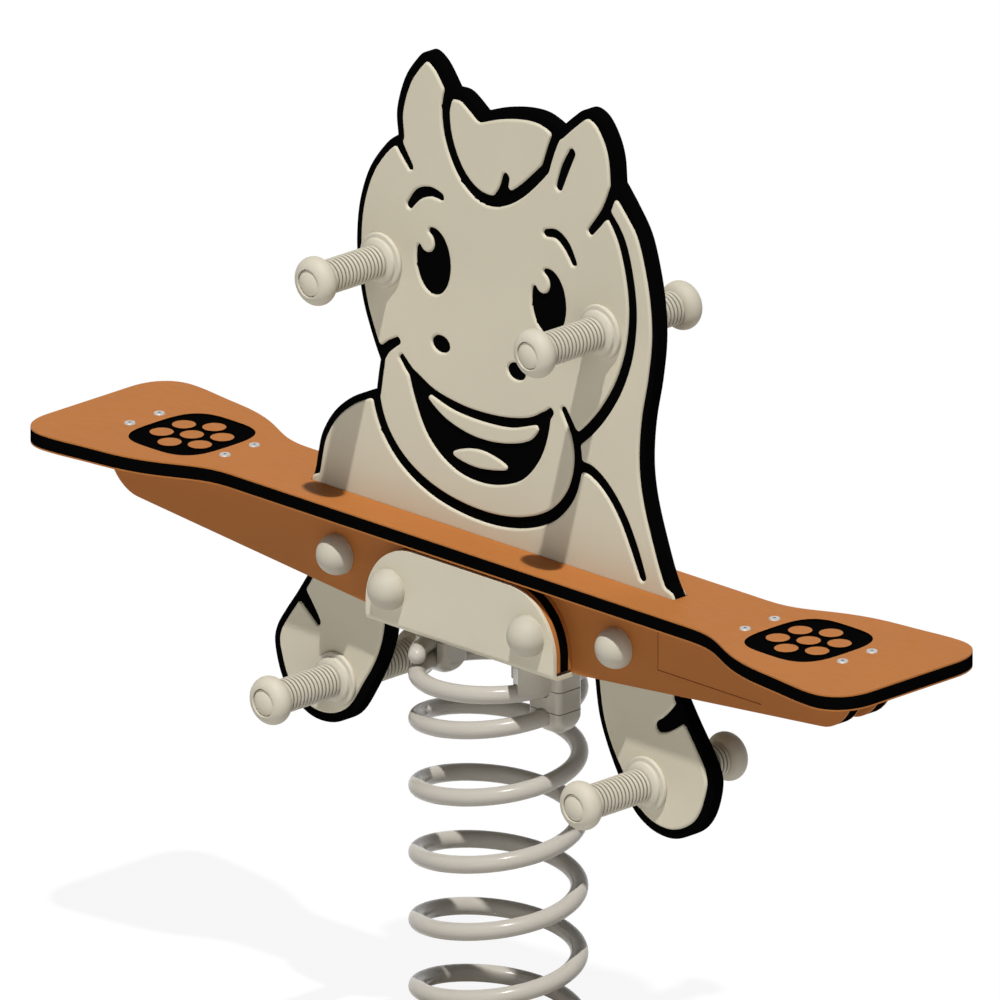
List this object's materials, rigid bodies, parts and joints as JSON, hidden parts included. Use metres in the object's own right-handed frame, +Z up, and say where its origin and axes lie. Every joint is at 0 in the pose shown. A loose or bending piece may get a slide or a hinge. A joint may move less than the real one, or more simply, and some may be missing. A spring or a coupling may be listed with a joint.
{
  "type": "spring rider",
  "caption": "Two-seat spring rider: a pony-shaped sheet panel through a waisted seat plank, with grips and foot rests, on a saddle clamped to one coil spring.",
  "frame": {"origin": "on the ground at the middle of the ground plate's underside, under the spring's axis", "axes": "+X along the seat plank, +Y across it, +Z up along the spring"},
  "size_m": [1.29, 0.4, 1.1968],
  "materials": {
    "panel_sheet": "satin",
    "orange_sheet": "satin",
    "grip_plastic": "satin",
    "saddle_coat": "satin",
    "clamp_coat": "gloss",
    "spring_coat": "gloss",
    "base_coat": "satin",
    "zinc_steel": "satin"
  },
  "bodies": {
    "base": {"base_plate": "base_coat", "lower_right_clamp_block": "clamp_coat", "lower_right_clamp_middle": "clamp_coat", "lower_right_clamp_cap": "clamp_coat", "lower_left_clamp_block": "clamp_coat", "lower_left_clamp_cap": "clamp_coat", "lower_clamp_screws": "zinc_steel"},
    "spring": {"coil_spring": "spring_coat"},
    "rider": {"upper_right_clamp_block": "clamp_coat", "upper_right_clamp_middle": "clamp_coat", "upper_right_clamp_cap": "clamp_coat", "upper_left_clamp_block": "clamp_coat", "upper_left_clamp_cap": "clamp_coat", "upper_clamp_screws": "zinc_steel", "upper_clamp_washers": "zinc_steel", "saddle_bracket": "saddle_coat", "front_cheek_spacer": "orange_sheet", "rear_cheek_spacer": "orange_sheet", "front_beam_board": "orange_sheet", "rear_beam_board": "orange_sheet", "pony_panel": "panel_sheet", "panel_shims": "zinc_steel", "seat_plank": "orange_sheet", "seat_screws": "zinc_steel", "beam_bolts": "zinc_steel", "beam_bolt_nuts": "zinc_steel", "saddle_bolts": "zinc_steel", "saddle_bolt_nuts": "zinc_steel", "bolt_washers": "zinc_steel", "beam_cover_discs": "grip_plastic", "saddle_cover_discs": "grip_plastic", "beam_bolt_covers": "grip_plastic", "saddle_bolt_covers": "grip_plastic", "front_left_handle": "grip_plastic", "front_right_handle": "grip_plastic", "rear_left_handle": "grip_plastic", "rear_right_handle": "grip_plastic", "front_left_foot_rest": "grip_plastic", "front_right_foot_rest": "grip_plastic", "rear_left_foot_rest": "grip_plastic", "rear_right_foot_rest": "grip_plastic", "handle_rods": "zinc_steel", "foot_rest_rods": "zinc_steel", "handle_rod_nuts": "zinc_steel", "foot_rest_rod_nuts": "zinc_steel", "handle_rod_washers": "zinc_steel", "foot_rest_rod_washers": "zinc_steel", "handle_plugs": "grip_plastic", "foot_rest_plugs": "grip_plastic"}
  },
  "joints": [
    {"name": "rock_lengthwise", "type": "hinge", "parent": "base", "child": "spring", "pos_m": [0, 0, 0.27342], "axis": [0, 1, 0], "range_deg": [-18, 18], "stiffness_Nm_per_rad": 460, "deforming": ["coil_spring"]},
    {"name": "rock_sideways", "type": "hinge", "parent": "spring", "child": "rider", "pos_m": [0, 0, 0.27342], "axis": [1, 0, 0], "range_deg": [-12, 12], "stiffness_Nm_per_rad": 460, "deforming": ["coil_spring"]}
  ]
}
